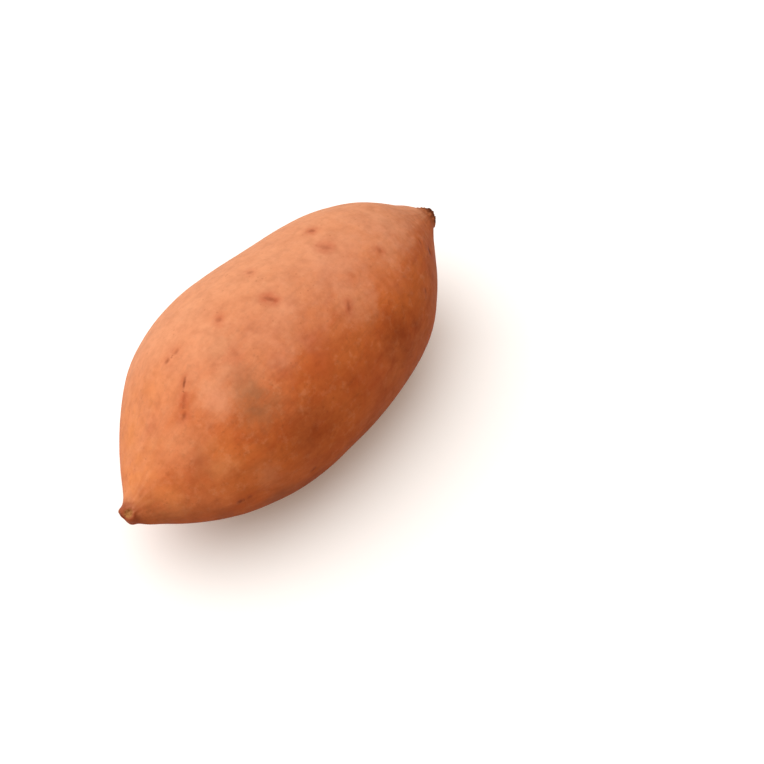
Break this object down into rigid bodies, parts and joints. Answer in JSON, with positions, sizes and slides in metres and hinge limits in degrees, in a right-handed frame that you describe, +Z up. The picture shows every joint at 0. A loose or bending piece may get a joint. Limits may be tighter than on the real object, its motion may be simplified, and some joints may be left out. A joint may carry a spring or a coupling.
{
  "type": "sweet potato",
  "caption": "Whole raw sweet potato lying on its side, plump in the middle and tapering to a short broken root stub at one end and a corky vine scar at the other.",
  "frame": {"origin": "on the resting plane, under the middle of the root's bounding box", "axes": "+X along the root from the broken root stub to the vine scar, +Z up from the resting plane"},
  "size_m": [0.16, 0.0798, 0.0709],
  "materials": {
    "skin": "satin"
  },
  "bodies": {
    "root": {"sweet_potato": "skin"}
  },
  "joints": []
}
